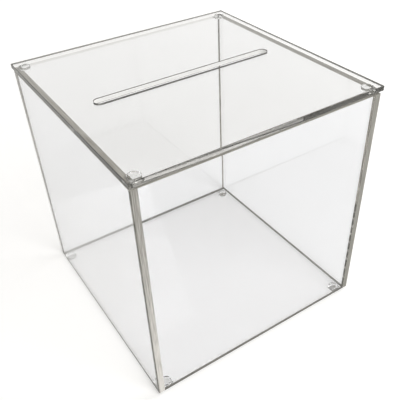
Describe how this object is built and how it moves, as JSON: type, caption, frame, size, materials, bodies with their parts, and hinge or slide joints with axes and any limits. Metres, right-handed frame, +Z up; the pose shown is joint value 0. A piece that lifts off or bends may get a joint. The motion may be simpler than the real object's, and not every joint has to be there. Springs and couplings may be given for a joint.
{
  "type": "donation box",
  "caption": "Clear acrylic cube box with bonded walls, bumper feet and a loose lift-off lid; notes and ballots go in through a long round-ended slot in the lid.",
  "frame": {"origin": "on the floor under the middle of the box, at the undersides of the feet", "axes": "+Z up, front wall facing -Y, slot along X"},
  "size_m": [0.202, 0.202, 0.2037],
  "materials": {
    "clear_sheet": "clear acrylic sheet with polished faces and satin machined edges",
    "clear_rubber": "clear soft bumper, smooth and slightly hazy"
  },
  "bodies": {
    "box": {"base_panel": "clear_sheet", "front_wall": "clear_sheet", "back_wall": "clear_sheet", "left_wall": "clear_sheet", "right_wall": "clear_sheet", "foot_front_left": "clear_rubber", "foot_front_right": "clear_rubber", "foot_back_left": "clear_rubber", "foot_back_right": "clear_rubber"},
    "lid": {"lid_panel": "clear_sheet", "lid_bumper_front_left": "clear_rubber", "lid_bumper_front_right": "clear_rubber", "lid_bumper_back_left": "clear_rubber", "lid_bumper_back_right": "clear_rubber"}
  },
  "joints": [
    {"name": "lid_lift", "type": "slide", "parent": "box", "child": "lid", "axis": [0, 0, 1], "range_m": [0, 0.12]}
  ]
}
